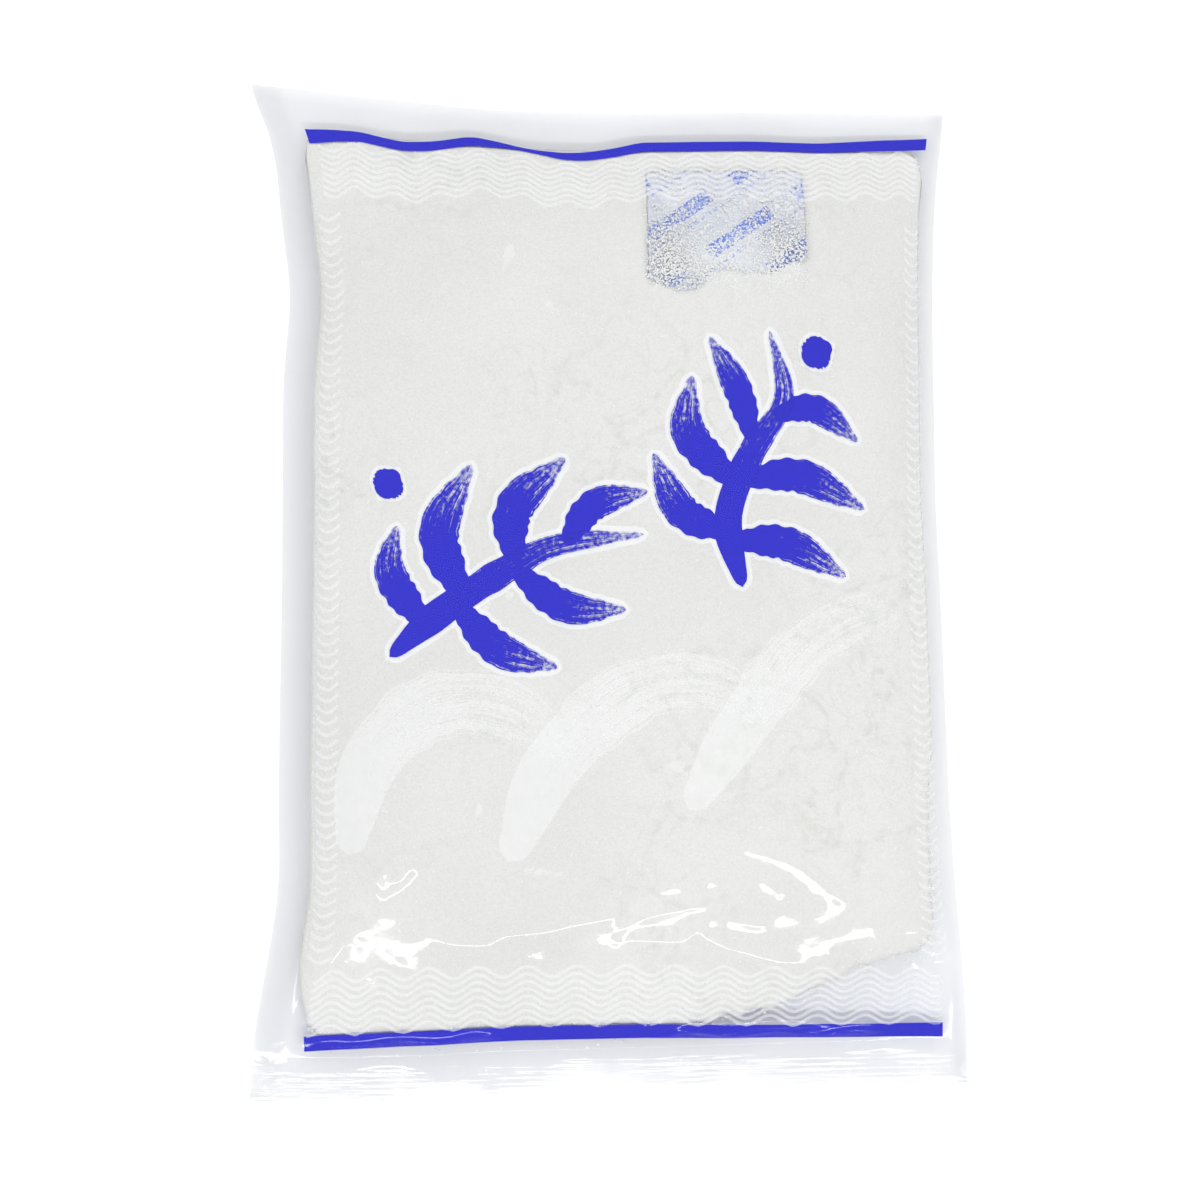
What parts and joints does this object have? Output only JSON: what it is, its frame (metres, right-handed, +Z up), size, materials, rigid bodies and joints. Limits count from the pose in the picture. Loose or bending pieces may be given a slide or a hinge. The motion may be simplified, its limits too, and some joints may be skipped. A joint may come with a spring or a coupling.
{
  "type": "pouch of salted white seaweed",
  "caption": "Flat clear plastic pouch, sealed all round and packed with salted white tosaka seaweed, with a sachet under the film.",
  "frame": {"origin": "on the resting surface, under the middle of the pouch", "axes": "+Y from the bottom seal to the top seal, +X to the right of the printed front, +Z up through the printed front"},
  "size_m": [0.2, 0.28, 0.0185],
  "materials": {
    "clear_film": "clear soft packaging film, glossy",
    "salt": "fine white salt crystals, matte",
    "seaweed": "pale moist frond, crusted with salt",
    "sachet_web": "pale blue-grey film with blue slanting bands",
    "granules": "matte white granules",
    "blue_ink": "opaque blue ink, printed inside the clear film",
    "white_ink": "thin white ink, printed inside the clear film"
  },
  "bodies": {
    "root": {"frond_01": "seaweed", "frond_02": "seaweed", "frond_03": "seaweed", "frond_04": "seaweed", "frond_05": "seaweed", "frond_06": "seaweed", "frond_07": "seaweed", "frond_08": "seaweed", "frond_09": "seaweed", "frond_10": "seaweed", "frond_11": "seaweed", "frond_12": "seaweed", "frond_13": "seaweed", "pouch_back_film": "clear_film", "pouch_front_film": "clear_film", "sachet_back_web": "sachet_web", "sachet_front_web": "sachet_web", "sachet_granules": "granules", "salt_bed_lower": "salt", "salt_bed_middle": "salt", "salt_bed_upper": "salt"}
  },
  "joints": []
}
